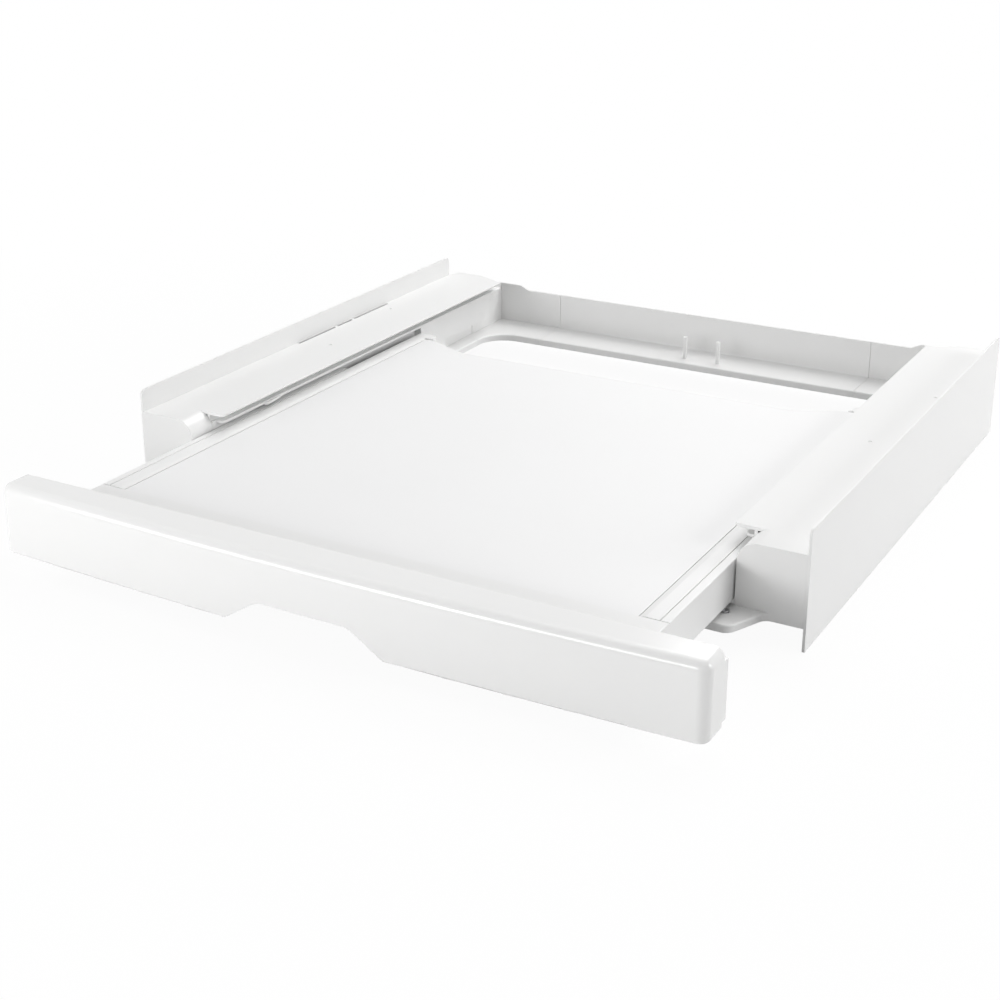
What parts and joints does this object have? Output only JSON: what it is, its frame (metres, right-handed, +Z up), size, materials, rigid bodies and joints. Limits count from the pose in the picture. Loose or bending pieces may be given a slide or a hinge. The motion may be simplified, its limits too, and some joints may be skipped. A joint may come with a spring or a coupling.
{
  "type": "stacking kit with pull-out shelf",
  "caption": "Low white frame that stands a dryer on a washing machine: ledged side housings, side plates, rear and front cross-members, and a pull-out shelf with a bowed front panel.",
  "frame": {"origin": "middle of the kit's footprint, with the shelf partly pulled out as in the picture, at the height of the side plates' lower edges", "axes": "+X across to the right, +Y from the front panel to the rear cross-member, +Z up"},
  "size_m": [0.6, 0.7228, 0.0945],
  "materials": {
    "plate_white": "smooth white, slightly glossy",
    "housing_white": "moulded white, fine satin grain",
    "rail_white": "moulded white, satin",
    "frame_white": "moulded white, satin",
    "panel_white": "polished white moulding",
    "tray_white": "moulded white, satin",
    "board_white": "white laminate, fine matt texture",
    "glide_nylon": "natural nylon",
    "pad_rubber": "dark grey anti-slip foam rubber",
    "screw_steel": "zinc plated"
  },
  "bodies": {
    "base": {"left_side_plate": "plate_white", "right_side_plate": "plate_white", "left_housing": "housing_white", "right_housing": "housing_white", "left_guide_rail": "rail_white", "right_guide_rail": "rail_white", "rear_crossmember": "frame_white", "left_rear_corner": "frame_white", "right_rear_corner": "frame_white", "front_crossmember": "frame_white", "left_base_pad": "pad_rubber", "right_base_pad": "pad_rubber", "side_plate_screws": "screw_steel", "guide_rail_screws": "screw_steel", "rear_corner_screws": "screw_steel", "rear_seam_screws": "screw_steel", "front_crossmember_screws": "screw_steel"},
    "drawer": {"drawer_front": "panel_white", "drawer_tray": "tray_white", "shelf_board": "board_white", "drawer_front_screws": "screw_steel", "left_tray_glide": "glide_nylon", "right_tray_glide": "glide_nylon"}
  },
  "joints": [
    {"name": "drawer_slide", "type": "slide", "parent": "base", "child": "drawer", "axis": [0, 1, 0], "range_m": [-0.0935, 0.1345]}
  ]
}
